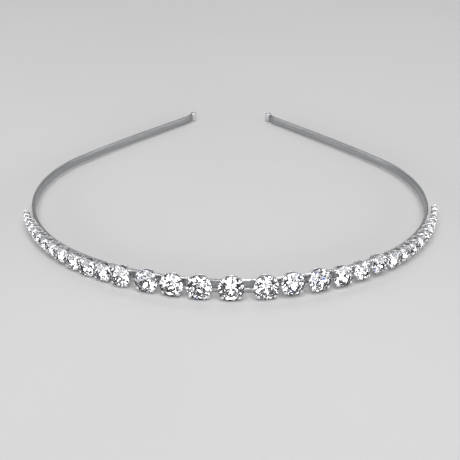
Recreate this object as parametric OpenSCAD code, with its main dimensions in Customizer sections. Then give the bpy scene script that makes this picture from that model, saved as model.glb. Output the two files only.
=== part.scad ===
// Rhinestone headband tiara: one narrow metal strip bent to an open U round the head, with a row
// of round cut stones in claw settings along its front. It lies on its edge, stones to the front.

/* [Strip] */
// Height of the strip's face, which lies against the head
strip_w = 2.7; // [2.2:0.1:3.4]
// Thickness of the strip
strip_t = 0.9; // [0.7:0.05:1.1]
// Diameter of the upright roll that ends the strip
roll_d = 2; // [1.6:0.1:2.4]
// Height of that roll
roll_h = 3.5; // [3:0.1:4]

/* [Settings] */
// Height of a stone's girdle above the strip's face, without the part that grows with its size
rise_base = 2.05; // [2:0.05:2.3]
// Growth of that height with the stone's diameter
rise_slope = 0.13; // [0.125:0.005:0.15]
// How far each setting leans up on the strip's face, in degrees
lean = 12; // [0:1:13]
// How far the cup's rim stands out of the stone, with its clearance
rim_t = 0.2; // [0.18:0.01:0.24]
// Height of the rim's upright wall
rim_h = 0.5; // [0.4:0.05:0.6]
// Width of the cup's base as a share of its rim's
base_share = 0.72; // [0.7:0.01:0.78]
// Thickness of the cup's wall and floor
wall_t = 0.3; // [0.25:0.01:0.32]
// How far a claw stands out of the rim
claw_out = 0.22; // [0.16:0.01:0.26]
// Thickness of a claw's tip
claw_tip_t = 0.24; // [0.18:0.02:0.28]
// Clearance between a claw's tip and the crown under it
claw_gap = 0.06; // [0.04:0.01:0.08]
// Radius of the solder links between neighbouring settings
link_r = 0.2; // [0.16:0.02:0.24]
// How far the row's middle sits to the right of the strip's
row_shift = 0.4; // [0:0.1:0.6]

/* [Stones] */
// Table width as a share of the stone's diameter
table_share = 0.52; // [0.45:0.01:0.58]
// Crown height as a share of the stone's diameter
crown_share = 0.16; // [0.14:0.01:0.18]
// Pavilion depth as a share of the stone's diameter
pavilion_share = 0.37; // [0.34:0.01:0.37]
// Culet width as a share of the stone's diameter
culet_share = 0.08; // [0.05:0.01:0.12]
// Girdle height as a share of the stone's diameter
girdle_share = 0.04; // [0.03:0.01:0.05]
// Clearance between a stone's girdle and its claws
girdle_gap = 0.06; // [0.05:0.01:0.08]
// Clearance between a stone's pavilion and its cup
seat_gap = 0.1; // [0.08:0.01:0.12]

/* [Hidden] */
// The strip's centre line from the front's middle to one end, in bends that follow each other.
// A radius of 0 is straight, and a negative one bends away from the head.
BEND_RADIUS = 0;
BEND_LENGTH = 1;
bends = [
    [75, 46],
    [45, 39],
    [42, 33.5],
    [390, 31.5],
    [0, 18.4],
    [-11, 5]
];

// The stones from the middle of the row to either end: the diameter, the gap before it and its
// height over the strip's middle. They were set by hand, so the left and right sides differ.
ROW_SIZE = 0;
ROW_GAP_LEFT = 1;
ROW_GAP_RIGHT = 2;
ROW_UP_LEFT = 3;
ROW_UP_RIGHT = 4;
row = [
    [7, 0, 0, 0, 0],
    [6.9, 1.65, 2.45, 0, 0],
    [6.4, 0.9, 0.65, 0, 0.4],
    [6.4, 0.75, 1.35, 0, 0.35],
    [5.9, 1.65, 0.95, -0.25, 0],
    [5.2, 0.15, 0.8, -0.5, 0.1],
    [5.2, 0.15, 0.8, -0.6, 0.45],
    [4.8, 0.2, 0.55, -0.5, 0],
    [4.4, 0.3, 0.2, -0.1, 0],
    [4.1, 0.15, 0.3, 0, 0],
    [3.8, 0.15, 0.55, 0, 0],
    [3.5, 0.15, 0.65, 0, 0],
    [3.2, 0.15, 0.65, 0, 0],
    [2.9, 0.2, 0.7, 0, 0],
    [2.7, 0.15, 0.6, 0, 0],
    [2.5, 0.15, 0.55, 0, 0],
    [2.4, 0.15, 0.5, 0, 0]
];
per_side = len(row) - 1;
// Settings at each end of the row that hang on their neighbour and don't reach the strip
free_count = 2;
// Thin collar round the strip at each change of bend: its length, and how far it stands proud
collar_run = 0.4;
collar_proud = 0.01;
// How far the end roll, which curls to the head's side, stands proud of the strip's outer face
roll_proud = 0.05;
// Widest gap that solder bridges
link_gap_max = 1.2;
// How deep a cup's foot sinks into the strip's face
foot_sink = 0.35;
// Depth of a seat under the girdle, as a share of the stone's diameter
seat_share = 0.09;
// Windows between the prongs: height of the foot ring that they leave, half their width there as
// a share of the rim's radius, and how much wider than its claw a prong is at the rim
window_foot = 0.3;
window_share = 0.14;
prong_extra = 0.3;
// Claws: width of the smallest, growth with the stone, tip's place as a share of the stone's
// radius, height over the girdle's corner, and how far the claw's foot sinks into the rim
claw_w = 0.4;
claw_slope = 0.07;
claw_reach = 0.82;
claw_over = 0.12;
claw_sink = 0.04;
claw_foot = 2.2;
// Width of the ring of corners between pavilion kites, as a share of the stone's radius
lower_share = 0.27;
claw_count = 4;
facets_round = 8;
fine_fn = 360;
part_fn = 48;

function size_of(i) = row[i][ROW_SIZE];
function rise_of(i) = strip_t / 2 + rise_base + rise_slope * size_of(i);
function stone_r(i) = size_of(i) / 2;
function claw_width(i) = claw_w + claw_slope * size_of(i);
function claw_sweep(i) = claw_width(i) / (stone_r(i) + rim_t) * 180 / PI;
function gap_of(i, sx) = row[i][sx < 0 ? ROW_GAP_LEFT : ROW_GAP_RIGHT];
function up_of(i, sx) = row[i][sx < 0 ? ROW_UP_LEFT : ROW_UP_RIGHT];
function is_free(i) = i > per_side - free_count;

// Bend radius of the strip at distance s from the front's middle
function radius_at(s, i = 0) =
    s <= bends[i][BEND_LENGTH] || i == len(bends) - 1 ? bends[i][BEND_RADIUS]
    : radius_at(s - bends[i][BEND_LENGTH], i + 1);

// Pose [x, y, heading] after a run of length s along bend i from the pose p
function advance(p, i, s) =
    let (r = bends[i][BEND_RADIUS])
    r == 0 ? [p.x + s * cos(p.z), p.y + s * sin(p.z), p.z]
    : let (h = p.z + s / r * 180 / PI)
        [p.x + r * (sin(h) - sin(p.z)), p.y + r * (cos(p.z) - cos(h)), h];
function bend_start(i) = i == 0 ? [0, 0, 0] : advance(bend_start(i - 1), i - 1, bends[i - 1][BEND_LENGTH]);
function pose_at(s, i = 0) =
    s <= bends[i][BEND_LENGTH] || i == len(bends) - 1 ? advance(bend_start(i), i, s)
    : pose_at(s - bends[i][BEND_LENGTH], i + 1);

// Distance of setting i from the front's middle, measured along the strip to the side sx. The pitch
// is stepped off at the girdles, which run on a larger radius than the strip.
function station(i, sx) =
    i == 0 ? sx * row_shift
    : let (s = station(i - 1, sx), pitch = stone_r(i - 1) + stone_r(i) + gap_of(i, sx))
        s + pitch / (1 + rise_of(i) / radius_at(s));
stations = [for (sx = [-1, 1]) [for (i = [0 : per_side]) station(i, sx)]];
function place_of(i, sx) = pose_at(stations[sx < 0 ? 0 : 1][i]);

// Point at setting i, as its leaning frame gives it: x along the strip's run, y up from the stone's
// middle, z its rise
function point_at(i, sx, x, y, z) =
    let (
        p = place_of(i, sx),
        rise = z - strip_t / 2,
        out = strip_t / 2 + rise * cos(lean) - y * sin(lean)
    )
    [
        sx * (p.x + x * cos(p.z) + out * sin(p.z)),
        p.y + x * sin(p.z) - out * cos(p.z),
        y * cos(lean) + rise * sin(lean) + up_of(i, sx)
    ];

// Lie: the largest stone's girdle and the two end rolls touch the surface
end_pose = bend_start(len(bends) - 1);
tip = advance(end_pose, len(bends) - 1, bends[len(bends) - 1][BEND_LENGTH]);
roll_chamfer = roll_d / 5;
roll_foot_r = roll_d / 2 - roll_chamfer;
roll_inset = (roll_d - strip_t) / 2 - roll_proud;
roll_at = [tip.x - roll_inset * sin(tip.z), tip.y + roll_inset * cos(tip.z), 0];
rest_at = point_at(0, 1, 0, -stone_r(0), rise_of(0) - girdle_share * stone_r(0));
lie_deg = atan((-rest_at.z - roll_h / 2) / (roll_at.y + roll_foot_r - rest_at.y));
lift = rest_at.y * sin(lie_deg) - rest_at.z * cos(lie_deg);

// Front and back ends of the whole, which put the origin at the middle of its base
function table_z(i) = rise_of(i) + stone_r(i) * (girdle_share + 2 * crown_share);
front = point_at(0, 1, 0, -stone_r(0) * table_share, table_z(0));
front_y = front.y * cos(lie_deg) + front.z * sin(lie_deg);
back_y = (roll_at.y + roll_d / 2) * cos(lie_deg) + (roll_h / 2 - roll_chamfer) * sin(lie_deg);
shift_y = -(front_y + back_y) / 2;

// Outermost corner of a claw or a table on the side sx, which puts the origin at the middle of the
// width. The lower corners reach furthest, because the settings lean.
function claw_corner(i) =
    let (r = stone_r(i) + rim_t + claw_out, turn = 180 / claw_count + claw_sweep(i) / 2)
    [r * cos(turn), -r * sin(turn), rise_of(i) + girdle_share * stone_r(i) + claw_over];
function table_corner(i) = [0, -stone_r(i) * table_share, table_z(i)];
function reach(sx) = max([for (i = [1 : per_side], c = [claw_corner(i), table_corner(i)])
    sx * point_at(i, sx, c.x, c.y, c.z).x]);
shift_x = (reach(-1) - reach(1)) / 2;

function side_name(side, i) = str("stone_", side, i < 10 ? "_0" : "_", i);

// Puts the strip's own frame, with the strip's mid-height at zero, into the lying pose
module lie() {
    translate([shift_x, shift_y, lift]) rotate([-lie_deg, 0, 0]) children();
}

// Puts children at setting i, which leans about the strip's face: x along the strip, y up from the
// stone's middle, z away from the head
module at_setting(i, sx) {
    p = place_of(i, sx);
    translate([sx * p.x, p.y, up_of(i, sx)]) rotate([0, 0, sx * p.z]) rotate([90, 0, 0])
        translate([0, 0, strip_t / 2]) rotate([-lean, 0, 0]) translate([0, 0, -strip_t / 2])
        children();
}

module strip_section() {
    square([strip_t, strip_w], center = true);
}

// One bend of the strip, drawn from its own start along +X
module strip_bend(i) {
    r = bends[i][BEND_RADIUS];
    run = bends[i][BEND_LENGTH];
    if (r == 0) {
        translate([0, -strip_t / 2, -strip_w / 2]) cube([run, strip_t, strip_w]);
    } else {
        sweep = run / abs(r) * 180 / PI;
        translate([0, r, 0]) rotate([0, 0, r > 0 ? -90 : 90 - sweep])
            rotate_extrude(angle = sweep, $fn = fine_fn) translate([abs(r), 0]) strip_section();
    }
}

// Joins two bends that meet end to end
module bend_collar() {
    cube([collar_run, strip_t + 2 * collar_proud, strip_w + 2 * collar_proud], center = true);
}

module end_roll() {
    side = roll_h / 2 - roll_chamfer;
    r = roll_d / 2;
    rotate_extrude($fn = part_fn) polygon([
        [0, -roll_h / 2], [roll_foot_r, -roll_h / 2], [r, -side],
        [r, side], [roll_foot_r, roll_h / 2], [0, roll_h / 2]
    ]);
}

module half_strip() {
    for (i = [0 : len(bends) - 1]) {
        p = bend_start(i);
        translate([p.x, p.y, 0]) rotate([0, 0, p.z]) {
            strip_bend(i);
            if (i > 0) bend_collar();
        }
    }
    translate(roll_at) end_roll();
}

// Cup under a stone: a floor, a wall that widens up to the rim, and a seat inside it that follows
// the pavilion. Windows leave the wall standing as prongs.
module cup(i) {
    rise = rise_of(i);
    r = stone_r(i);
    outer = r + rim_t;
    base_r = base_share * outer;
    seat_top = rise - girdle_share * r - seat_gap;
    culet_r = culet_share * r + seat_gap;
    culet_z = seat_top - 2 * pavilion_share * r;
    foot_z = is_free(i) ? culet_z - wall_t : strip_t / 2 - foot_sink;
    floor_z = is_free(i) ? culet_z : strip_t / 2 + wall_t;
    seat_z = seat_top - seat_share * size_of(i);
    slope = (r + girdle_gap - culet_r) / (seat_top - culet_z);
    widening = (outer - base_r) / (rise - rim_h - foot_z);
    function cone_r(z) = culet_r + (z - culet_z) * slope;
    function inner_r(z) = base_r + (z - foot_z) * widening - wall_t;
    dip = culet_z < floor_z ? [[cone_r(floor_z), floor_z], [culet_r, culet_z], [0, culet_z]] : [[0, floor_z]];
    difference() {
        rotate_extrude($fn = part_fn) polygon(concat([
            [0, foot_z], [base_r, foot_z], [outer, rise - rim_h], [outer, rise],
            [r + girdle_gap, rise], [r + girdle_gap, seat_top], [cone_r(seat_z), seat_z],
            [inner_r(seat_z - wall_t), seat_z - wall_t], [inner_r(floor_z), floor_z]
        ], dip));
        for (k = [0 : claw_count - 1]) rotate([0, 0, 90 * k]) window(i, floor_z + window_foot);
    }
}

// Opening between two prongs, narrow at its foot and wide at the rim
module window(i, foot_z) {
    outer = stone_r(i) + rim_t;
    prong_turn = asin((claw_width(i) + prong_extra) / 2 / outer);
    top = outer * sin(180 / claw_count - prong_turn);
    foot = outer * window_share;
    rotate([90, 0, 90]) linear_extrude(2 * outer) polygon([
        [-foot, foot_z], [foot, foot_z], [top, rise_of(i)], [top, rise_of(i) + rim_h],
        [-top, rise_of(i) + rim_h], [-top, rise_of(i)]
    ]);
}

// One claw: it leans on the rim, passes the girdle and bends over the crown
module claw(i) {
    rise = rise_of(i);
    r = stone_r(i);
    outer = r + rim_t;
    slope = atan(2 * crown_share / (1 - table_share));
    girdle_high = rise + girdle_share * r;
    over = [sin(slope), cos(slope)];
    tip_r = r * claw_reach;
    crown_low = [r, girdle_high];
    crown_tip = [tip_r, girdle_high + (r - tip_r) * tan(slope)];
    inner = r + girdle_gap + claw_sink;
    rotate([0, 0, -claw_sweep(i) / 2]) rotate_extrude(angle = claw_sweep(i), $fn = part_fn) polygon([
        crown_tip + claw_gap * over,
        crown_tip + (claw_gap + claw_tip_t) * over,
        [outer + claw_out, girdle_high + claw_over],
        [outer + claw_out, rise - rim_h],
        [outer - claw_sink, rise - claw_foot * rim_h],
        [inner, rise - rim_h / 2],
        [inner, girdle_high],
        crown_low + claw_gap * over
    ]);
}

module claw_setting(i) {
    cup(i);
    for (k = [0 : claw_count - 1]) rotate([0, 0, (k + 0.5) * 360 / claw_count]) claw(i);
}

// Solder between the claws of settings i - 1 and i that face each other, above the row's middle
// for up = 1 and below it for up = -1
module solder_link(i, sx, up) {
    from_r = (stone_r(i - 1) + rim_t) * sin(180 / claw_count);
    to_r = (stone_r(i) + rim_t) * sin(180 / claw_count);
    start = point_at(i - 1, sx, from_r, up * from_r, rise_of(i - 1) - rim_h / 2);
    end = point_at(i, sx, -to_r, up * to_r, rise_of(i) - rim_h / 2);
    run = end - start;
    translate(start) rotate([0, acos(run.z / norm(run)), atan2(run.y, run.x)])
        cylinder(h = norm(run), r = link_r, $fn = part_fn);
}

module band() {
    color("silver") lie() union() {
        half_strip();
        mirror([1, 0, 0]) half_strip();
        at_setting(0, 1) claw_setting(0);
        for (sx = [-1, 1], i = [1 : per_side]) {
            at_setting(i, sx) claw_setting(i);
            if (gap_of(i, sx) < link_gap_max) solder_link(i, sx, 1);
            if (is_free(i)) solder_link(i, sx, -1);
        }
    }
}

// Corners of one ring of a cut stone
function ring(count, r, z, turn) =
    [for (k = [0 : count - 1]) [r * cos(turn + k * 360 / count), r * sin(turn + k * 360 / count), z]];

// Height of the corner between kites, so that each kite is flat
function kite_z(flat_r, flat_z, girdle_r, girdle_z, mid_r) =
    flat_z + (girdle_z - flat_z) * (mid_r * cos(180 / facets_round) - flat_r) / (girdle_r - flat_r);

// Round brilliant cut: a flat table, kites, stars and halves above the girdle, and kites and halves
// down to a small culet below it. Its girdle's middle is at zero.
module brilliant(r) {
    n = facets_round;
    g = girdle_share * r;
    top = g + 2 * crown_share * r;
    low = -g - 2 * pavilion_share * r;
    table_r = table_share * r;
    star_r = (table_share + 1) / 2 * r;
    culet_r = culet_share * r;
    half_r = lower_share * r;
    half_turn = 180 / n;
    points = concat(
        ring(n, table_r, top, 0),
        ring(n, star_r, kite_z(table_r, top, r, g, star_r), half_turn),
        ring(2 * n, r, g, 0),
        ring(2 * n, r, -g, 0),
        ring(n, half_r, kite_z(culet_r, low, r, -g, half_r), half_turn),
        ring(n, culet_r, low, 0)
    );
    t = 0;
    s = n;
    gu = 2 * n;
    gl = 4 * n;
    h = 6 * n;
    c = 7 * n;
    faces = concat(
        [[for (k = [n - 1 : -1 : 0]) t + k]],
        [for (k = [0 : n - 1]) [t + k, t + (k + 1) % n, s + k]],
        [for (k = [0 : n - 1]) [t + k, s + k, gu + 2 * k, s + (k + n - 1) % n]],
        [for (k = [0 : n - 1]) [s + k, gu + 2 * k + 1, gu + 2 * k]],
        [for (k = [0 : n - 1]) [s + k, gu + (2 * k + 2) % (2 * n), gu + 2 * k + 1]],
        [for (k = [0 : 2 * n - 1])
            [gu + k, gu + (k + 1) % (2 * n), gl + (k + 1) % (2 * n), gl + k]],
        [for (k = [0 : n - 1]) [h + k, gl + 2 * k, gl + 2 * k + 1]],
        [for (k = [0 : n - 1]) [h + k, gl + 2 * k + 1, gl + (2 * k + 2) % (2 * n)]],
        [for (k = [0 : n - 1]) [c + k, h + (k + n - 1) % n, gl + 2 * k, h + k]],
        [for (k = [0 : n - 1]) [c + k, h + k, c + (k + 1) % n]],
        [[for (k = [0 : n - 1]) c + k]]
    );
    polyhedron(points = points, faces = faces);
}

module stone(i, sx) {
    color("aliceblue") lie() at_setting(i, sx) translate([0, 0, rise_of(i)]) brilliant(stone_r(i));
}

band();
stone(0, 1);  // stone_center
for (i = [1 : per_side]) {
    stone(i, -1);
    stone(i, 1);
}
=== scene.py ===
import bpy, bmesh, math, random
import numpy as np
from mathutils import Matrix, Vector, noise


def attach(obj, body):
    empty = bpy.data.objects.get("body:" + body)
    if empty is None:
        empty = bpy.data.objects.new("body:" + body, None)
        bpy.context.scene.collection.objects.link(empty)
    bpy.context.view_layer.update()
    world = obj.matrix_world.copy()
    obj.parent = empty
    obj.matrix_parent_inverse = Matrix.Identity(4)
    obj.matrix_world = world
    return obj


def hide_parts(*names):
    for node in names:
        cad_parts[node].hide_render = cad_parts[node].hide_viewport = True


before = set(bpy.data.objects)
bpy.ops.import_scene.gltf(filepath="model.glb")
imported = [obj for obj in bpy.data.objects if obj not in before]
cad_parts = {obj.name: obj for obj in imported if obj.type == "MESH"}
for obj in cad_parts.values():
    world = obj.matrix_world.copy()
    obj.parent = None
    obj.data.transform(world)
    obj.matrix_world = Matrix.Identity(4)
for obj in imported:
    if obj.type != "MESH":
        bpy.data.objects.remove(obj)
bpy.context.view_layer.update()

# Named lengths are in millimetres and named angles in degrees, unless a comment says otherwise.
MM = 0.001
PHOTO_SIDE = 460  # pixels
SIDES = ("left", "right")

# Camera: the photograph's view of the tiara, which lies on its edge
SENSOR = 36
FOCAL_PX = 820.2
CAM_PITCH = 30.63
CAM_HEIGHT = 127.70
CAM_BACK = -239.27
CAM_ASIDE = -0.91
CAM_ROLL = 0.513
CAM_YAW = -0.066
CAM_CLIP = 0.01  # metres

# Strip, with the part's own sizes
STRIP_W = 2.7
STRIP_T = 0.9
STRIP_EDGE = 0.26  # radius of its rounded edges
STRIP_STEP = 0.6
EDGE_STEPS = 4
# Radius and length of each bend from the front's middle: 0 is straight, and below 0 bends outwards.
BENDS = ((75, 46), (45, 39), (42, 33.5), (390, 31.5), (0, 18.4), (-11, 5))

# End rolls
ROLL_R = 1.0
ROLL_H = 3.5
ROLL_INSET = 0.5  # how far the axis lies to the head's side
ROLL_RINGS = 22
ROLL_COUNT = 48
ROLL_SQUARE = 7  # power of the outline: a high one is square
ROLL_SHOULDER = 0.35  # power of the shoulders: a low one is sharp
ROLL_END_R = 0.42  # radius of the flat ends, as a share of the roll's
SEAM_TURN = 150  # where the seam lies round the roll
SEAM_SPREAD = 9
SEAM_DEPTH = 0.12  # share of the radius
DIMPLE = ((0.16, 0.34), (0.3, 0.3), (0.36, 0.12))  # radius and depth in the roll's end

# Row of stones
PER_SIDE = 16
FREE_COUNT = 2  # settings at each end of the row that hang free of the strip
RISE_BASE = 2.05  # height of a girdle over the strip's face, without what the diameter adds
RISE_SLOPE = 0.13  # what each millimetre of the stone's diameter adds to it
SEAT_GAP = 0.1  # between a stone and the floor of its cup

# Cups
RIM_T = 0.2  # how far the widest part stands out past the girdle
RIM_H = 0.5  # height of the upright rim, up to the girdle
BASE_SHARE = 0.72  # radius of the foot, as a share of the widest
WALL_T = 0.26
FOOT_SINK = 0.35  # how deep the foot lies in the strip
FOOT_ROUND = 0.12
FOOT_NICK = 0.03
FLOOR_ROUND = 0.08
RING_ROUND_STEPS = 6
AXIS_R = 0.02  # radius of the hole that the turned ring leaves at its axis
CUP_COUNT = 64
WINDOW_SHARE = 0.14  # half width of a window's foot, as a share of the widest radius
WINDOW_FOOT = 0.3  # height of a window's foot over the floor

# Prongs
PRONG_COUNT = 4
PRONG_ROOT = 0.22  # how far they start below the ring's top
PRONG_EXTRA = 0.2  # how much wider than the claw they are at the rim
PRONG_RIM_IN = 0.42  # how far the middle lies inside the rim, as a share of the wall
PRONG_UNEVEN_TURN = 0.012  # radians
PRONG_UNEVEN_WIDTH = 0.05  # share of the width
PRONG_FULL = 0.62  # power of the section: a low one is full
PRONG_ACROSS = 9
SPINE_STEPS = 7
RIM_POINT = 2  # which of the points that the spine is drawn through lies at the rim

# Claws, the upper part of the prongs
CLAW_W = 0.4  # width, without what the diameter adds
CLAW_SLOPE = 0.07  # what each millimetre of the stone's diameter adds to it
CLAW_T = 0.32
CLAW_AWAY = 0.19  # from the girdle to the claw's middle
CLAW_LEAN = 0.02  # how much closer that is at its point below the girdle
CLAW_BELOW = 0.1
CLAW_ABOVE = 0.04
CLAW_TAPER = 2.2  # how fast the width falls above the rim
CLAW_BEND = (0.42, 0.62)  # where it bends, as shares of the way in and of the way up to the tip
CLAW_REACH = 0.82  # radius of the tip, as a share of the stone's
CLAW_GAP = 0.05  # between the tip and the crown
CLAW_TIP_T = 0.24
TIP_RUN = 1.05  # length of the rounded tip, in half widths
TIP_POWER = 2.4
TIP_THIN = 0.6
TIP_LEAST_W = 0.04  # share of the width that the tip ends with
TIP_LEAST_T = 0.1  # share of the thickness that the tip ends with

# Solder links between the prongs of neighbours
LINK_R = 0.2
LINK_GAP_MAX = 1.3  # widest gap between two stones that is bridged
LONG_LINKS = (("left", 4), ("right", 3))  # stones before which a wider gap is bridged too
LINK_STEPS = 14
LINK_COUNT = 12
LINK_WAIST = 0.72  # share of the radius at the middle
LINK_FLARE_POWER = 3
LINK_END_SHARE = 0.5
LINK_SAG = (-0.08, 0.02)
LINK_SEEDS = {"left": 5, "right": 9}

# Solder beads on the strip's edges: name, edge, radius at both ends, place in from the edge, arch
BEADS = (
    ("solder_bead_low", -1, (0.19, 0.21), -0.32, 0.4),
    ("solder_bead_high", 1, (0.38, 0.2), -0.16, 0),
)
BEAD_STEPS = 26
BEAD_COUNT = 14
BEAD_IN_CUP = 0.1
BEAD_PROUD = 0.04  # height of the middle over the strip's face
BEAD_END_R = 0.08
BEAD_WAVE = 7  # length of a bead in the noise of its lumps
BEAD_VARIETY = 40  # how far apart in the noise two beads of unlike radius lie
BEAD_WAVE_ROW = 3.1
BEAD_LUMP_UP = 0.06
BEAD_LUMP_WIDE = 0.3
BEAD_FLARE = 0.9  # how much wider a bead is where it meets a cup
BEAD_FLARE_POWER = 6

# Cut of the stones: heights as shares of the diameter, and widths as shares of the full width
TABLE = 0.52
CROWN = 0.16
PAVILION = 0.37
CULET = 0.08
GIRDLE = 0.04
LOWER = 0.27  # where the lower halves end
CROWN_SIDES = 8
CROWN_UNEVEN = 0.5  # degrees that a facet's normal is off by
PAVILION_SIDES = 12
PAVILION_UNEVEN = 0.9
ROUGH_SIDES = 64
ROUGH_EXTRA = 1.2  # height of the rough stone, in heights of the cut one
CUT_WITHIN = 1e-5
WELD_WITHIN = 2e-4
STONE_KINDS = 6
STONE_SEED = 30
STONE_TIP = 1.2
STONE_SHRINK = 0.997
SETTING_SEED = 11

# Normals: the cosine over which two faces are one flat, and the height under which one is foiled
SAME_FLAT = 0.9995
FOIL_DOWN = -0.1

# Angles over which an edge stays sharp
STRIP_SHARP = 50
PRONG_SHARP = 55
SOLDER_SHARP = 60

# Metals: dull and bright tone, lowest and highest roughness, strength of the grain
# The strip's tones are darkened below the metal's own: painted shade on its faces. The rubs that vary them
# are the metal's own.
STRIP_SHADED_TONES = ((0.32, 0.325, 0.335), (0.44, 0.445, 0.455))
STRIP_ROUGH = (0.22, 0.36)
STRIP_GRAIN = 0.16
CLAW_TONES = ((0.86, 0.87, 0.88), (0.96, 0.96, 0.97))
CLAW_ROUGH = (0.24, 0.4)
CLAW_GRAIN = 0.2
# The end rolls are the strip's own metal in brighter tones: a painted highlight.
ROLL_LIT_TONES = ((0.58, 0.585, 0.6), (0.7, 0.705, 0.715))
ROLL_ROUGH = (0.3, 0.42)
ROLL_GRAIN = 0.25
SOLDER_TONES = ((0.84, 0.84, 0.85), (0.95, 0.95, 0.96))
SOLDER_ROUGH = (0.22, 0.4)
SOLDER_GRAIN = 0.6
GRAIN_DEPTH = 0.00003  # metres

# Glass, the mirror foil behind it with a few patches painted blue as glints of fire, and the floor
GLASS_IOR = 1.56
GLASS_ROUGH = (0.0, 0.06)
FOIL_GREY = (0.86, 0.87, 0.9)
FOIL_SILVER = (0.97, 0.97, 0.98)
FOIL_PAINTED_FIRE = (0.2, 0.3, 0.85)
FOIL_ROUGH = (0.0, 0.08)
FLOOR_TONES = ((0.61, 0.61, 0.615), (0.64, 0.64, 0.645))
FLOOR_ROUGH = 0.36
FLOOR_SHINE = 0.22
FLOOR_HALF = 6  # metres

# Noises of the materials: scale to a metre and detail, and for some a stretch and a roughness
METAL_CLOUDS = (320, 4)
METAL_RUBS = (700, 6, (1, 1, 4), 0.65)
METAL_GRAIN = (1800, 5, (1, 1, 3), 0.6)
GLASS_MARKS = (900, 4)
FOIL_CLOUDS = (600, 3)
FLOOR_CLOUDS = (6, 3)

# Streaks of the strip: scale along it and round it to a millimetre, and detail
STRIP_RUBS = (0.05, 1.6, 3)
STRIP_LINES = (0.12, 16, 4)

# Lamps, in metres: turn to the right of the front and rise in degrees, width, height, radiance
LAMP_REACH = 1.8
LAMPS = {
    "low_0": (-86, 11, 0.57, 0.42, 5.8),
    "low_1": (-57, 11, 0.57, 0.42, 5.4),
    "low_2": (-29, 11, 0.57, 0.42, 4.1),
    "low_3": (0, 11, 0.57, 0.42, 3.6),
    "low_4": (29, 11, 0.57, 0.42, 4.1),
    "low_5": (57, 11, 0.57, 0.42, 5.4),
    "low_6": (86, 11, 0.57, 0.42, 5.8),
    "high_0": (-48, 43, 0.53, 0.38, 3.4),
    "high_1": (-16, 43, 0.53, 0.38, 3.4),
    "high_2": (16, 43, 0.53, 0.38, 3.4),
    "high_3": (48, 43, 0.53, 0.38, 3.4),
    "top": (0, 77, 1.8, 0.9, 4),
    "back": (180, 49, 1.6, 0.64, 2),
    "back_low": (180, 23, 2.2, 0.48, 0.6),
}
WORLD_GLOW = 0.06


def lerp(a, b, t):
    return a + (b - a) * t


def polar(r, turn, z):
    return Vector((r * math.cos(turn), r * math.sin(turn), z))


def circle(count):
    """Angles of points evenly round a circle."""
    return [2 * math.pi * k / count for k in range(count)]


def run_lengths(points):
    """Length of the path up to each of its points."""
    runs = [0.0]
    for a, b in zip(points, points[1:]):
        runs.append(runs[-1] + math.dist(a, b))
    return runs


def smooth_path(points, steps):
    """Points on a Catmull-Rom curve through the given ones."""
    pts = [points[0] * 2 - points[1]] + points + [points[-1] * 2 - points[-2]]
    out = []
    for k in range(1, len(pts) - 2):
        a, b, c, d = pts[k - 1 : k + 3]
        for s in range(steps):
            t = s / steps
            out.append(0.5 * (2 * b + (c - a) * t + (2 * a - 5 * b + 4 * c - d) * t * t
                              + (3 * b - a - 3 * c + d) * t ** 3))
    out.append(points[-1])
    return out


# Camera

def make_camera():
    data = bpy.data.cameras.new("camera")
    data.sensor_width = SENSOR
    data.lens = SENSOR * FOCAL_PX / PHOTO_SIDE
    data.clip_start = CAM_CLIP
    cam = bpy.data.objects.new("camera", data)
    bpy.context.scene.collection.objects.link(cam)
    turn = Matrix.Rotation(math.radians(CAM_YAW), 4, "Z")
    tilt = Matrix.Rotation(math.radians(90 - CAM_PITCH), 4, "X")
    roll = Matrix.Rotation(math.radians(CAM_ROLL), 4, "Z")
    place = Matrix.Translation((CAM_ASIDE * MM, CAM_BACK * MM, CAM_HEIGHT * MM))
    cam.matrix_world = place @ turn @ tilt @ roll
    bpy.context.scene.camera = cam


make_camera()


# Seats of the stones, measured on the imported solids

class Seat:
    """Place of one stone: its girdle's centre and radius, and the axis that points out of the
    strip. Once the strip's own up is known, settle gives it its leaning frame and its heights."""

    def __init__(self, centre, out, r):
        self.centre = centre
        self.out = out
        self.r = r

    def settle(self, strip_up):
        self.strip_up = strip_up
        self.along = strip_up.cross(self.out).normalized()
        self.up = self.out.cross(self.along)
        self.level = self.along.cross(strip_up)
        self.rise = STRIP_T / 2 + RISE_BASE + RISE_SLOPE * 2 * self.r
        self.foot = self.centre - self.out * (self.rise - STRIP_T / 2)
        self.outer = self.r + RIM_T
        self.high = self.rise + GIRDLE * self.r

    def leaning(self, x, y, z):
        """Point of the leaning setting: x along the strip, y up, z out from the strip's middle."""
        return self.centre + self.along * x + self.up * y + self.out * (z - self.rise)

    def on_strip(self, x, y, z):
        """Point of the strip beside it: x along, y up its face, z out from the strip's middle."""
        return self.foot + self.along * x + self.strip_up * y + self.level * (z - STRIP_T / 2)


def measure_stone(node):
    """Seat of a stone, whose table is the largest flat face of its solid."""
    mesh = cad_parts[node].data
    normals = np.array([p.normal for p in mesh.polygons])
    areas = np.array([p.area for p in mesh.polygons])
    centres = np.array([p.center for p in mesh.polygons]) / MM
    same = (normals @ normals.T) > SAME_FLAT
    table = same[np.argmax(same @ areas)]
    out = Vector(normals[table].mean(axis=0)).normalized()
    middle = Vector((centres[table] * areas[table, None]).sum(axis=0) / areas[table].sum())
    points = [v.co / MM - middle for v in mesh.vertices]
    r = max((p - out * p.dot(out)).length for p in points)
    return Seat(middle - out * r * (GIRDLE + 2 * CROWN), out, r)


def node_name(side, i):
    return "stone_center" if i == 0 else "stone_%s_%02d" % (side, i)


def find_up():
    """The settings all lean up by one angle, so the strip's own up is the direction in which
    the stones' axes don't differ."""
    axes = np.array([seat.out for seat in seats.values()])
    up = Vector(np.linalg.svd(axes - axes.mean(axis=0))[2][2])
    return -up if up.z < 0 else up


seats = {}
for side in SIDES:
    for i in range(PER_SIDE + 1):
        if node_name(side, i) not in seats:
            seats[node_name(side, i)] = measure_stone(node_name(side, i))
UP = find_up()
for seat in seats.values():
    seat.settle(UP)


# Meshes

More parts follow.
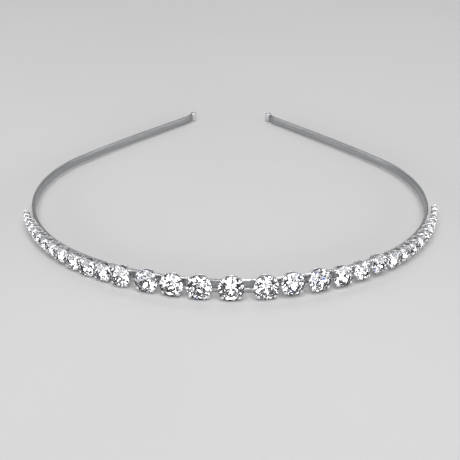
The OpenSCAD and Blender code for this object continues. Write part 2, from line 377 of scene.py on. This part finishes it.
def make_piece(name, verts, faces, mats, picks=None, node="band", sharp=None):
    mesh = bpy.data.meshes.new(name)
    mesh.from_pydata([Vector(v) * MM for v in verts], [], faces)
    for m in mats:
        mesh.materials.append(m)
    if picks:
        mesh.polygons.foreach_set("material_index", picks)
    bm = bmesh.new()
    bm.from_mesh(mesh)
    bmesh.ops.recalc_face_normals(bm, faces=bm.faces)
    bm.to_mesh(mesh)
    bm.free()
    if sharp is not None:
        mesh.polygons.foreach_set("use_smooth", [True] * len(mesh.polygons))
        mesh.set_sharp_from_angle(angle=math.radians(sharp))
    mesh.update()
    piece = bpy.data.objects.new(name, mesh)
    bpy.context.scene.collection.objects.link(piece)
    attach(piece, "root")
    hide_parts(node)
    return piece


class Solid:
    """Collects the points and faces of one piece of metal."""

    def __init__(self):
        self.verts = []
        self.faces = []

    def loft(self, loops):
        """Closed skin through loops of equal count, capped at both ends."""
        n = len(loops[0])
        first = len(self.verts)
        for loop in loops:
            self.verts.extend(loop)
        for a in range(len(loops) - 1):
            for k in range(n):
                p = first + a * n + k
                q = first + a * n + (k + 1) % n
                self.faces.append((p, q, q + n, p + n))
        self.faces.append(tuple(range(first + n - 1, first - 1, -1)))
        last = first + (len(loops) - 1) * n
        self.faces.append(tuple(range(last, last + n)))

    def lathe(self, profile, count, place):
        """Closed ring skin: profile of (radius, height) points that closes on itself."""
        n = len(profile)
        first = len(self.verts)
        for a in circle(count):
            self.verts.extend(place(r * math.cos(a), r * math.sin(a), z) for r, z in profile)
        for k in range(count):
            for j in range(n):
                here = first + k * n
                ahead = first + (k + 1) % count * n
                self.faces.append((here + j, ahead + j, ahead + (j + 1) % n, here + (j + 1) % n))

    def tube(self, points, radii, count):
        """Round bar along points, with a radius at each."""
        loops = []
        side = None
        for k, p in enumerate(points):
            ahead = (points[min(k + 1, len(points) - 1)] - points[max(k - 1, 0)]).normalized()
            side = side - ahead * side.dot(ahead) if side else ahead.orthogonal()
            side.normalize()
            other = ahead.cross(side)
            loops.append([p + (side * math.cos(a) + other * math.sin(a)) * radii[k] for a in circle(count)])
        self.loft(loops)

    def piece(self, name, metal, sharp):
        return make_piece(name, self.verts, self.faces, [metal], sharp=sharp)


# Materials

def new_material(name):
    m = bpy.data.materials.new(name)
    m.use_nodes = True
    return m, m.node_tree.nodes, m.node_tree.links, m.node_tree.nodes["Principled BSDF"]


def noise_node(nodes, links, scale, detail, stretch=(1, 1, 1), rough=0.5):
    where = nodes.new("ShaderNodeTexCoord")
    fit = nodes.new("ShaderNodeMapping")
    fit.inputs["Scale"].default_value = stretch
    tex = nodes.new("ShaderNodeTexNoise")
    tex.inputs["Scale"].default_value = scale
    tex.inputs["Detail"].default_value = detail
    tex.inputs["Roughness"].default_value = rough
    links.new(where.outputs["Object"], fit.inputs["Vector"])
    links.new(fit.outputs["Vector"], tex.inputs["Vector"])
    return tex.outputs["Fac"]


def streak_node(nodes, links, along, across, detail):
    """Noise drawn out along the strip, in the map of millimetres run and round its section."""
    where = nodes.new("ShaderNodeUVMap")
    where.uv_map = "run"
    fit = nodes.new("ShaderNodeMapping")
    fit.inputs["Scale"].default_value = (along, across, 1)
    tex = nodes.new("ShaderNodeTexNoise")
    tex.inputs["Scale"].default_value = 1
    tex.inputs["Detail"].default_value = detail
    links.new(where.outputs["UV"], fit.inputs["Vector"])
    links.new(fit.outputs["Vector"], tex.inputs["Vector"])
    return tex.outputs["Fac"]


def add_ramp(nodes, links, fac, stops, socket):
    """Ramp into a shader's socket, from stops of (place, colour or grey)."""
    r = nodes.new("ShaderNodeValToRGB")
    while len(r.color_ramp.elements) < len(stops):
        r.color_ramp.elements.new(0.5)
    for e, (at, colour) in zip(r.color_ramp.elements, stops):
        e.position = at
        e.color = (*colour, 1) if isinstance(colour, tuple) else (colour, colour, colour, 1)
    links.new(fac, r.inputs["Fac"])
    links.new(r.outputs["Color"], socket)


def add_grain(nodes, links, shader, height, strength):
    lift = nodes.new("ShaderNodeBump")
    lift.inputs["Strength"].default_value = strength
    lift.inputs["Distance"].default_value = GRAIN_DEPTH
    links.new(height, lift.inputs["Height"])
    links.new(lift.outputs["Normal"], shader.inputs["Normal"])


def silver_material(name, tones, rough, grain):
    """Bright plated metal: clouds of two tones, rubs in its roughness and a fine grain."""
    m, nodes, links, shader = new_material(name)
    shader.inputs["Metallic"].default_value = 1
    clouds = noise_node(nodes, links, *METAL_CLOUDS)
    add_ramp(nodes, links, clouds, ((0.3, tones[0]), (0.62, tones[1])), shader.inputs["Base Color"])
    rubs = noise_node(nodes, links, *METAL_RUBS)
    add_ramp(nodes, links, rubs, ((0.3, rough[0]), (0.75, rough[1])), shader.inputs["Roughness"])
    add_grain(nodes, links, shader, noise_node(nodes, links, *METAL_GRAIN), grain)
    return m


def strip_material():
    """Satin plated steel, drawn along its length, with longer pale rubs. Its tones are darkened below the
    metal's own as painted shade.
    """
    m, nodes, links, shader = new_material("strip_metal")
    shader.inputs["Metallic"].default_value = 1
    rubs = streak_node(nodes, links, *STRIP_RUBS)
    tones = ((0.3, STRIP_SHADED_TONES[0]), (0.7, STRIP_SHADED_TONES[1]))
    add_ramp(nodes, links, rubs, tones, shader.inputs["Base Color"])
    lines = streak_node(nodes, links, *STRIP_LINES)
    rough = ((0.3, STRIP_ROUGH[0]), (0.7, STRIP_ROUGH[1]))
    add_ramp(nodes, links, lines, rough, shader.inputs["Roughness"])
    add_grain(nodes, links, shader, lines, STRIP_GRAIN)
    return m


def crystal_material():
    m, nodes, links, shader = new_material("crystal")
    shader.inputs["Base Color"].default_value = (1, 1, 1, 1)
    shader.inputs["Transmission Weight"].default_value = 1
    shader.inputs["IOR"].default_value = GLASS_IOR
    marks = noise_node(nodes, links, *GLASS_MARKS)
    rough = ((0.45, GLASS_ROUGH[0]), (0.9, GLASS_ROUGH[1]))
    add_ramp(nodes, links, marks, rough, shader.inputs["Roughness"])
    return m


def foil_material():
    m, nodes, links, shader = new_material("foil")
    shader.inputs["Metallic"].default_value = 1
    clouds = noise_node(nodes, links, *FOIL_CLOUDS)
    # Foil tones run from grey to silver at random. A narrow blue band at the top of the noise is painted
    # glints that stand in for the glass's fire.
    tones = ((0.25, FOIL_GREY), (0.6, FOIL_SILVER), (0.66, FOIL_SILVER), (0.69, FOIL_PAINTED_FIRE))
    add_ramp(nodes, links, clouds, tones, shader.inputs["Base Color"])
    rough = ((0.3, FOIL_ROUGH[0]), (0.9, FOIL_ROUGH[1]))
    add_ramp(nodes, links, clouds, rough, shader.inputs["Roughness"])
    return m


def floor_material():
    m, nodes, links, shader = new_material("floor")
    clouds = noise_node(nodes, links, *FLOOR_CLOUDS)
    tones = ((0.3, FLOOR_TONES[0]), (0.7, FLOOR_TONES[1]))
    add_ramp(nodes, links, clouds, tones, shader.inputs["Base Color"])
    shader.inputs["Roughness"].default_value = FLOOR_ROUGH
    shader.inputs["Specular IOR Level"].default_value = FLOOR_SHINE
    return m


strip_metal = strip_material()
claw_metal = silver_material("claw_metal", CLAW_TONES, CLAW_ROUGH, CLAW_GRAIN)
# Brighter copy of the strip's metal: painted highlight on the end rolls.
roll_metal = silver_material("roll_metal", ROLL_LIT_TONES, ROLL_ROUGH, ROLL_GRAIN)
solder_metal = silver_material("solder_metal", SOLDER_TONES, SOLDER_ROUGH, SOLDER_GRAIN)
crystal = crystal_material()
foil = foil_material()


# Strip

def bend_point(pose, radius, s):
    """Pose (x, y, heading) after a run of length s on a bend of that radius."""
    x, y, h = pose
    if radius == 0:
        return x + s * math.cos(h), y + s * math.sin(h), h
    e = h + s / radius
    return x + radius * (math.sin(e) - math.sin(h)), y + radius * (math.cos(h) - math.cos(e)), e


def centre_line():
    """Poses from the front's middle to the tip, in the strip's own plane."""
    out = []
    pose = (0.0, 0.0, 0.0)
    for radius, length in BENDS:
        count = math.ceil(length / STRIP_STEP)
        out += [bend_point(pose, radius, length * k / count) for k in range(count)]
        pose = bend_point(pose, radius, length)
    out.append(pose)
    return out


FLAT = Matrix.Rotation(-math.acos(UP.z), 3, "X")


def find_origin():
    """Middle of the strip's front, from the centre stone: its axis meets the first bend's centre."""
    seat = seats["stone_center"]
    flat_out = FLAT.transposed() @ seat.level
    heading = math.atan2(flat_out.x, -flat_out.y)
    radius = BENDS[0][0]
    x, y, h = bend_point((0.0, 0.0, 0.0), radius, radius * heading)
    return seat.foot - FLAT @ (Vector((x, y, 0)) + flat_out * STRIP_T / 2)


ORIGIN = find_origin()


def in_strip(x, y, z):
    """Point of the strip's own frame: x across, y to the back, z up its face."""
    return ORIGIN + FLAT @ Vector((x, y, z))


def rounded_box(w, t, edge, steps):
    """Outline of a strip's section as (out, up) points."""
    pts = []
    for sx, sy, start in ((1, 1, 0), (-1, 1, 90), (-1, -1, 180), (1, -1, 270)):
        for k in range(steps + 1):
            a = math.radians(start + 90 * k / steps)
            pts.append((sx * (t / 2 - edge) + edge * math.cos(a), sy * (w / 2 - edge) + edge * math.sin(a)))
    return pts


def map_run(mesh, line, section):
    """Map of the strip's skin: millimetres run along it, and millimetres round its section."""
    n = len(section)
    run = run_lengths([pose[:2] for pose in line])
    around = run_lengths(section + section[:1])
    uv = mesh.uv_layers.new(name="run").data
    for face in mesh.polygons:
        wraps = {v % n for v in face.vertices} == {0, n - 1}
        for loop in face.loop_indices:
            a, k = divmod(mesh.loops[loop].vertex_index, n)
            uv[loop].uv = (run[a], around[n if wraps and k == 0 else k])


def build_strip():
    half = centre_line()
    line = [(-x, y, -h) for x, y, h in reversed(half[1:])] + half
    section = rounded_box(STRIP_W, STRIP_T, STRIP_EDGE, EDGE_STEPS)
    loops = []
    for x, y, h in line:
        loops.append([in_strip(x + math.sin(h) * a, y - math.cos(h) * a, b) for a, b in section])
    solid = Solid()
    solid.loft(loops)
    map_run(solid.piece("strip", strip_metal, STRIP_SHARP).data, line, section)


def build_roll(side, sx):
    """End roll: the strip's end rolled up, with a seam down its side and a dimple at each end."""
    x, y, h = centre_line()[-1]
    x -= ROLL_INSET * math.sin(h)
    y += ROLL_INSET * math.cos(h)
    dimple = [(r, ROLL_H / 2 - depth) for r, depth in DIMPLE]
    barrel = []
    for k in range(ROLL_RINGS + 1):
        v = -1 + 2 * k / ROLL_RINGS
        share = (1 - abs(v) ** ROLL_SQUARE) ** ROLL_SHOULDER if abs(v) < 1 else ROLL_END_R
        barrel.append((ROLL_R * share, v * ROLL_H / 2))
    loops = []
    for r, z in [(r, -z) for r, z in dimple] + barrel + dimple[::-1]:
        loop = []
        for a in circle(ROLL_COUNT):
            seam = math.exp(-((math.degrees(a) - SEAM_TURN) / SEAM_SPREAD) ** 2)
            here = r * (1 - SEAM_DEPTH * seam)
            loop.append(in_strip(sx * (x + here * math.cos(a)), y + here * math.sin(a), z))
        loops.append(loop)
    solid = Solid()
    solid.loft(loops)
    solid.piece("end_roll_" + side, roll_metal, STRIP_SHARP)


# Settings

def cup_radius(seat, foot_z, z):
    """Outer radius of the cup at height z, up to its upright rim."""
    top_z = seat.rise - RIM_H
    base = BASE_SHARE * seat.outer
    return min(seat.outer, base + (z - foot_z) * (seat.outer - base) / (top_z - foot_z))


def foot_of(seat, free):
    """Height of the cup's foot. A free setting ends just under its stone, short of the strip."""
    if free:
        return seat.rise - GIRDLE * seat.r - SEAT_GAP - 2 * PAVILION * seat.r - WALL_T
    return STRIP_T / 2 - FOOT_SINK


def ring_profile(seat, foot_z, floor_z, ring_z, ring_r):
    """Outline of the cup's floor and foot ring, with the ring's upper edge rounded."""
    base_r = cup_radius(seat, foot_z, foot_z)
    edge = WALL_T / 2
    inner_r = ring_r - WALL_T
    profile = [(AXIS_R, foot_z), (base_r - FOOT_ROUND, foot_z), (base_r - FOOT_NICK, foot_z + FOOT_NICK)]
    profile += [(lerp(base_r, ring_r, t), lerp(foot_z + FOOT_ROUND, ring_z - edge, t)) for t in (0, 0.5, 1)]
    for k in range(1, RING_ROUND_STEPS):
        a = math.pi * k / RING_ROUND_STEPS
        profile.append((ring_r - edge + edge * math.cos(a), ring_z - edge + edge * math.sin(a)))
    profile += [(inner_r, ring_z - edge), (inner_r, floor_z + FLOOR_ROUND),
                (inner_r - FLOOR_ROUND, floor_z), (AXIS_R, floor_z)]
    return profile


def prong_spine(seat, foot_z, ring_z):
    """Middle line of a prong as (radius, height): out of the ring, up the cone, past the girdle
    and over the crown."""
    slope = math.atan(2 * CROWN / (1 - TABLE))
    tip_r = seat.r * CLAW_REACH
    tip_z = seat.high + (seat.r - tip_r) * math.tan(slope) + (CLAW_GAP + CLAW_TIP_T / 2) / math.cos(slope)
    outside = seat.r + CLAW_AWAY
    rim_z = seat.rise - RIM_H
    start_z = ring_z - PRONG_ROOT
    middle_z = lerp(start_z, rim_z, 0.5)
    return smooth_path([
        Vector((cup_radius(seat, foot_z, start_z) - WALL_T / 2, start_z)),
        Vector((cup_radius(seat, foot_z, middle_z) - WALL_T / 2, middle_z)),
        Vector((seat.outer - WALL_T * PRONG_RIM_IN, rim_z)),
        Vector((outside - CLAW_LEAN, seat.rise - CLAW_BELOW)),
        Vector((outside, seat.high + CLAW_ABOVE)),
        Vector((lerp(outside, tip_r, CLAW_BEND[0]), lerp(seat.high, tip_z, CLAW_BEND[1]))),
        Vector((tip_r, tip_z)),
    ], SPINE_STEPS)


def prong_sizes(seat, spine, ring_r, wide):
    """Half width and thickness of a prong at each point of its spine."""
    runs = run_lengths(spine)
    total = runs[-1]
    rim_run = runs[RIM_POINT * SPINE_STEPS]
    foot_half = (math.pi / 4 - math.asin(WINDOW_SHARE * seat.outer / ring_r)) * ring_r
    claw_half = (CLAW_W + CLAW_SLOPE * 2 * seat.r) / 2
    rim_half = claw_half + PRONG_EXTRA / 2
    tip_run = claw_half * TIP_RUN
    sizes = []
    for s in runs:
        if s <= rim_run:
            half = lerp(foot_half, rim_half, s / rim_run)
            thick = lerp(WALL_T, CLAW_T, s / rim_run)
        else:
            past = (s - rim_run) / (total - rim_run)
            half = lerp(rim_half, claw_half, min(1, past * CLAW_TAPER))
            thick = lerp(CLAW_T, CLAW_TIP_T, past)
        left = max(0.0, (s - (total - tip_run)) / tip_run)
        tip = math.sqrt(max(0.0, 1 - left ** TIP_POWER))
        sizes.append((half * wide * max(tip, TIP_LEAST_W), thick * max(tip ** TIP_THIN, TIP_LEAST_T)))
    return sizes


def build_setting(name, seat, free, rng):
    """Cup with a floor and foot ring, and four prongs that rise from it and bend over the crown."""
    foot_z = foot_of(seat, free)
    floor_z = foot_z + WALL_T if free else STRIP_T / 2 + WALL_T
    ring_z = floor_z + WINDOW_FOOT
    ring_r = cup_radius(seat, foot_z, ring_z - WALL_T / 2)
    solid = Solid()
    solid.lathe(ring_profile(seat, foot_z, floor_z, ring_z, ring_r), CUP_COUNT, seat.leaning)
    spine = prong_spine(seat, foot_z, ring_z)
    for q in range(PRONG_COUNT):
        turn = math.radians(45 + 90 * q) + rng.uniform(-PRONG_UNEVEN_TURN, PRONG_UNEVEN_TURN)
        wide = rng.uniform(1 - PRONG_UNEVEN_WIDTH, 1 + PRONG_UNEVEN_WIDTH)
        loops = []
        for k, (half, thick) in enumerate(prong_sizes(seat, spine, ring_r, wide)):
            p = spine[k]
            ahead = spine[min(k + 1, len(spine) - 1)] - spine[max(k - 1, 0)]
            normal = Vector((ahead.y, -ahead.x)).normalized()
            loop = []
            for sign in (1, -1):
                for j in range(PRONG_ACROSS):
                    u = sign * math.cos(math.pi * j / PRONG_ACROSS)
                    v = sign * math.sin(math.pi * j / PRONG_ACROSS) ** PRONG_FULL
                    a = turn + u * half / p.x
                    here = p + normal * v * thick / 2
                    loop.append(seat.leaning(here.x * math.cos(a), here.x * math.sin(a), here.y))
            loops.append(loop)
        solid.loft(loops)
    solid.piece(name, claw_metal, PRONG_SHARP)


# Solder

def add_link(solid, a, b, up, rng):
    """Bar of solder between the prongs of two neighbours, thicker where it has run on to them."""
    fa = a.outer * math.sin(math.pi / 4)
    fb = b.outer * math.sin(math.pi / 4)
    start = a.leaning(fa, up * fa, a.rise - RIM_H / 2)
    end = b.leaning(-fb, up * fb, b.rise - RIM_H / 2)
    sag = rng.uniform(*LINK_SAG)
    points = []
    radii = []
    for k in range(LINK_STEPS + 1):
        t = k / LINK_STEPS
        points.append(start.lerp(end, t) + a.up * sag * math.sin(math.pi * t) * up)
        swell = LINK_WAIST + abs(2 * t - 1) ** LINK_FLARE_POWER
        radii.append(LINK_R * swell * (1 if 0 < k < LINK_STEPS else LINK_END_SHARE))
    solid.tube(points, radii, LINK_COUNT)


def build_links(side):
    rng = random.Random(LINK_SEEDS[side])
    solid = Solid()
    for i in range(1, PER_SIDE + 1):
        a, b = seats[node_name(side, i - 1)], seats[node_name(side, i)]
        if side == "left":
            a, b = b, a
        gap = (b.centre - a.centre).length - a.r - b.r
        if gap < LINK_GAP_MAX or (side, i) in LONG_LINKS:
            add_link(solid, a, b, 1, rng)
        if i > PER_SIDE - FREE_COUNT:
            add_link(solid, a, b, -1, rng)
    solid.piece("links_" + side, solder_metal, SOLDER_SHARP)


def build_bead(name, up, thick, inset, rise):
    """Solder that has run along an edge of the strip, from the middle setting's foot to the foot
    of its right neighbour."""
    ends = []
    for seat, way in ((seats["stone_center"], 1), (seats["stone_right_01"], -1)):
        reach = math.sqrt((BASE_SHARE * seat.outer) ** 2 - (STRIP_W / 2) ** 2) - BEAD_IN_CUP
        ends.append(seat.on_strip(way * reach, up * (STRIP_W / 2 - inset), STRIP_T / 2 + BEAD_PROUD))
    points = []
    radii = []
    for k in range(BEAD_STEPS + 1):
        t = k / BEAD_STEPS
        lump = noise.noise(Vector((t * BEAD_WAVE, thick[0] * BEAD_VARIETY, BEAD_WAVE_ROW)))
        lift = rise * math.sin(math.pi * t) ** 2 + BEAD_LUMP_UP * lump
        points.append(ends[0].lerp(ends[1], t) + UP * lift)
        swell = 1 + BEAD_LUMP_WIDE * lump + BEAD_FLARE * abs(2 * t - 1) ** BEAD_FLARE_POWER
        radii.append(lerp(*thick, t) * swell if 0 < k < BEAD_STEPS else BEAD_END_R)
    solid = Solid()
    solid.tube(points, radii, BEAD_COUNT)
    solid.piece(name, solder_metal, SOLDER_SHARP)


# Stones

def unit_brilliant(rng):
    """Round cut stone of radius 1 with its girdle's middle at 0, its facets ground a little
    unevenly: points, faces, and which faces are foiled. It is cut from a round rough by planes."""
    top = GIRDLE + 2 * CROWN
    low = -GIRDLE - 2 * PAVILION
    bm = bmesh.new()
    rings = [[bm.verts.new(polar(1, a, z * ROUGH_EXTRA)) for a in circle(ROUGH_SIDES)] for z in (low, top)]
    for k in range(ROUGH_SIDES):
        n = (k + 1) % ROUGH_SIDES
        bm.faces.new((rings[0][k], rings[0][n], rings[1][n], rings[1][k]))
    bm.faces.new(rings[1])
    bm.faces.new(list(reversed(rings[0])))

    def cut(a, b, c, uneven=0.0):
        normal = (b - a).cross(c - a).normalized()
        if normal.dot(a) < 0:
            normal = -normal
        tilt = Vector([math.radians(rng.gauss(0, uneven)) for _ in range(3)])
        normal = (normal + tilt - normal * tilt.dot(normal)).normalized()
        done = bmesh.ops.bisect_plane(bm, geom=bm.verts[:] + bm.edges[:] + bm.faces[:], dist=CUT_WITHIN,
                                      plane_co=a, plane_no=normal, clear_outer=True)
        edges = [e for e in done["geom_cut"] if isinstance(e, bmesh.types.BMEdge)]
        if edges:
            bmesh.ops.edgeloop_fill(bm, edges=edges)

    def cut_kite(t, inner_r, inner_z, girdle_z, uneven):
        edge = polar(1, t, girdle_z)
        cut(edge, polar(inner_r, t, inner_z), edge + polar(1, t + math.pi / 2, 0), uneven)

    def cut_halves(t, step, corner_r, corner_z, girdle_z, uneven):
        for s in (-1, 1):
            side = t + s * step / 2
            cut(polar(corner_r, side, corner_z), polar(1, t, girdle_z), polar(1, side, girdle_z), uneven)

    step = 2 * math.pi / CROWN_SIDES
    star_r = (TABLE + 1) / 2
    star_z = top - (star_r * math.cos(step / 2) - TABLE) * 2 * CROWN / (1 - TABLE)
    for k in range(CROWN_SIDES):
        cut_kite(k * step, TABLE, top, GIRDLE, CROWN_UNEVEN)
    for k in range(CROWN_SIDES):
        cut_halves(k * step, step, star_r, star_z, GIRDLE, CROWN_UNEVEN)
    for k in range(CROWN_SIDES):
        t = (k + 0.5) * step
        edge = polar(TABLE * math.cos(step / 2), t, top)
        cut(polar(star_r, t, star_z), edge, edge + polar(1, t + math.pi / 2, 0), CROWN_UNEVEN)
    step = 2 * math.pi / PAVILION_SIDES
    lower_z = low + (LOWER * math.cos(step / 2) - CULET) * 2 * PAVILION / (1 - CULET)
    for k in range(PAVILION_SIDES):
        cut_kite(k * step, CULET, low, -GIRDLE, PAVILION_UNEVEN)
    for k in range(PAVILION_SIDES):
        cut_halves(k * step, step, LOWER, lower_z, -GIRDLE, PAVILION_UNEVEN)
    for z in (top, low):
        flat = Vector((0, 0, z))
        cut(flat, flat + Vector((1, 0, 0)), flat + Vector((0, 1, 0)))
    bmesh.ops.remove_doubles(bm, verts=bm.verts, dist=WELD_WITHIN)
    bmesh.ops.recalc_face_normals(bm, faces=bm.faces)
    bm.verts.index_update()
    verts = [v.co.copy() for v in bm.verts]
    faces = [tuple(v.index for v in f.verts) for f in bm.faces]
    picks = [1 if f.normal.z < FOIL_DOWN else 0 for f in bm.faces]
    bm.free()
    return verts, faces, picks


STONES = [unit_brilliant(random.Random(STONE_SEED + k)) for k in range(STONE_KINDS)]


def build_stone(node, seat, rng):
    """One of the cut stones, turned its own way and not quite square in its setting."""
    verts, faces, picks = rng.choice(STONES)
    turn = Matrix.Rotation(rng.uniform(0, 2 * math.pi), 3, "Z")
    tip_x = Matrix.Rotation(math.radians(rng.uniform(-STONE_TIP, STONE_TIP)), 3, "X")
    tip_y = Matrix.Rotation(math.radians(rng.uniform(-STONE_TIP, STONE_TIP)), 3, "Y")
    points = []
    for v in verts:
        p = tip_x @ tip_y @ (turn @ v) * seat.r * STONE_SHRINK
        points.append(seat.leaning(p.x, p.y, seat.rise + p.z))
    make_piece(node + "_cut", points, faces, [crystal, foil], picks, node=node)


build_strip()
build_roll("left", -1)
build_roll("right", 1)
rng = random.Random(SETTING_SEED)
for side in SIDES:
    for i in range(PER_SIDE + 1):
        if i == 0 and side == "right":
            continue
        node = node_name(side, i)
        build_setting(node.replace("stone", "setting"), seats[node], i > PER_SIDE - FREE_COUNT, rng)
        build_stone(node, seats[node], rng)
    build_links(side)
for bead in BEADS:
    build_bead(*bead)


# Stage and light

def build_floor():
    corners = [(x * FLOOR_HALF, y * FLOOR_HALF, 0) for x, y in ((-1, -1), (1, -1), (1, 1), (-1, 1))]
    mesh = bpy.data.meshes.new("floor")
    mesh.from_pydata(corners, [], [(0, 1, 2, 3)])
    mesh.materials.append(floor_material())
    floor = bpy.data.objects.new("floor", mesh)
    bpy.context.scene.collection.objects.link(floor)


def softbox(name, turn, rise, wide, high, glow):
    """Rectangular lamp that faces the tiara."""
    data = bpy.data.lights.new(name, "AREA")
    data.shape = "RECTANGLE"
    data.size = wide
    data.size_y = high
    data.energy = glow * math.pi * wide * high
    lamp = bpy.data.objects.new(name, data)
    bpy.context.scene.collection.objects.link(lamp)
    t, e = math.radians(turn), math.radians(rise)
    place = Vector((math.sin(t) * math.cos(e), -math.cos(t) * math.cos(e), math.sin(e))) * LAMP_REACH
    lamp.location = place
    lamp.rotation_euler = (-place).to_track_quat("-Z", "Y").to_euler()


def light_world():
    world = bpy.data.worlds.new("world")
    bpy.context.scene.world = world
    world.use_nodes = True
    back = world.node_tree.nodes["Background"]
    back.inputs["Color"].default_value = (1, 1, 1, 1)
    back.inputs["Strength"].default_value = WORLD_GLOW


build_floor()
for name, lamp in LAMPS.items():
    softbox(name, *lamp)
light_world()
bpy.context.scene.view_settings.view_transform = "Standard"
